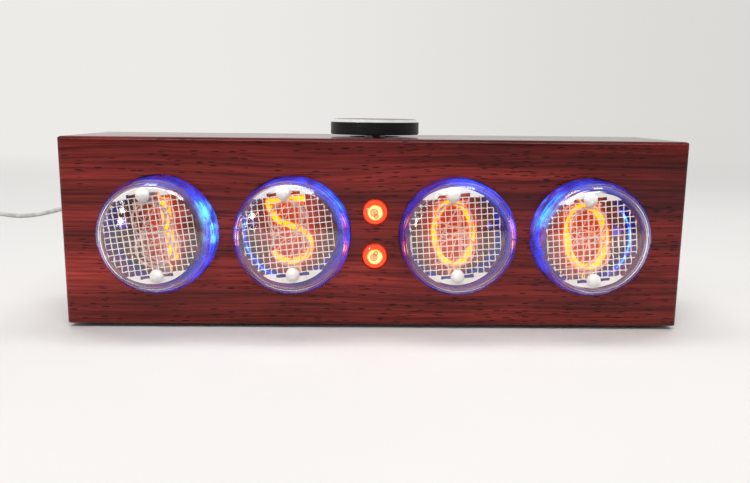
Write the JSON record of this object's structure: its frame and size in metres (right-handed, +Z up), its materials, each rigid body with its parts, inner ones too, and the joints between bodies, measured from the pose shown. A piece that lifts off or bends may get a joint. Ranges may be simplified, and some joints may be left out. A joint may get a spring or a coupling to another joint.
{
  "type": "nixie tube clock",
  "caption": "Desk clock in a solid red hardwood case with four end-view glow tubes, two neon colon lamps, a push-and-turn knob on top and a thin power lead.",
  "frame": {"origin": "on the table under the middle of the clock's box, leaving the power lead out", "axes": "+X along the case to the right seen from the dial, +Y from the dial to the back, +Z up"},
  "size_m": [0.379, 0.2666, 0.057],
  "materials": {
    "hardwood": "red-brown open-pored hardwood, satin varnish",
    "black_acrylic": "black cast acrylic sheet",
    "black_steel": "black oxide",
    "brass": "turned",
    "foot_rubber": "matt moulded",
    "tube_glass": "clear blown glass lit blue from behind",
    "pressed_glass": "pressed glass",
    "tinned_wire": "tinned",
    "anode_nickel": "etched nickel sheet, bright satin",
    "ceramic": "white fired ceramic",
    "numeral_steel": "etched steel sheet",
    "lit_numeral": "glowing orange in the gas",
    "lamp_glass": "neon lamp glass glowing red-orange",
    "circuit_board": "green solder mask",
    "zinc_steel": "zinc plated",
    "led_body": "moulded body",
    "chip_resin": "black moulded resin",
    "ferrite": "ground ferrite",
    "capacitor_sleeve": "sleeved can",
    "black_nylon": "moulded nylon",
    "cell_steel": "plated steel",
    "encoder_housing": "die-cast and blackened",
    "acetal": "moulded acetal",
    "shaft_metal": "turned",
    "anodised_black": "black anodised, fine turned, with a bright cut chamfer",
    "plug_metal": "nickel plated",
    "lead_pvc": "pale grey flexible PVC"
  },
  "bodies": {
    "case": {"wood_case": "hardwood", "rear_panel": "black_acrylic", "rear_screws": "black_steel", "threaded_inserts": "brass", "rubber_feet": "foot_rubber", "tube_1_glass": "tube_glass", "tube_1_base": "pressed_glass", "tube_1_pins": "tinned_wire", "tube_1_anode": "anode_nickel", "tube_1_posts": "ceramic", "tube_1_cathodes": "numeral_steel", "tube_1_lit_numeral": "lit_numeral", "tube_2_glass": "tube_glass", "tube_2_base": "pressed_glass", "tube_2_pins": "tinned_wire", "tube_2_anode": "anode_nickel", "tube_2_posts": "ceramic", "tube_2_cathodes": "numeral_steel", "tube_2_lit_numeral": "lit_numeral", "tube_3_glass": "tube_glass", "tube_3_base": "pressed_glass", "tube_3_pins": "tinned_wire", "tube_3_anode": "anode_nickel", "tube_3_posts": "ceramic", "tube_3_cathodes": "numeral_steel", "tube_3_lit_numeral": "lit_numeral", "tube_4_glass": "tube_glass", "tube_4_base": "pressed_glass", "tube_4_pins": "tinned_wire", "tube_4_anode": "anode_nickel", "tube_4_posts": "ceramic", "tube_4_cathodes": "numeral_steel", "tube_4_lit_numeral": "lit_numeral", "colon_lamp_glasses": "lamp_glass", "colon_lamp_electrodes": "tinned_wire", "display_board": "circuit_board", "board_standoffs": "brass", "board_screws": "zinc_steel", "backlight_leds": "led_body", "circuit_chips": "chip_resin", "boost_inductor": "ferrite", "reservoir_capacitor": "capacitor_sleeve", "cell_holder": "black_nylon", "backup_cell": "cell_steel", "encoder_body": "encoder_housing", "encoder_board": "circuit_board", "encoder_nut": "zinc_steel", "power_jack": "black_nylon", "power_jack_nut": "zinc_steel", "plug_barrel": "plug_metal", "plug_body": "lead_pvc", "cord": "lead_pvc", "cord_coil": "lead_pvc", "supply_plug_body": "lead_pvc", "supply_plug_shell": "plug_metal"},
    "rotor": {"encoder_rotor": "acetal"},
    "knob": {"knob": "anodised_black", "knob_grub_screw": "black_steel", "encoder_shaft": "shaft_metal"}
  },
  "joints": [
    {"name": "knob_turn", "type": "hinge", "parent": "case", "child": "rotor", "pos_m": [0, 0.005, 0.045], "axis": [0, 0, 1], "continuous": true},
    {"name": "knob_press", "type": "slide", "parent": "rotor", "child": "knob", "axis": [0, 0, -1], "range_m": [0, 0.0004], "stiffness_N_per_m": 2000, "springref_m": -0.0005}
  ]
}
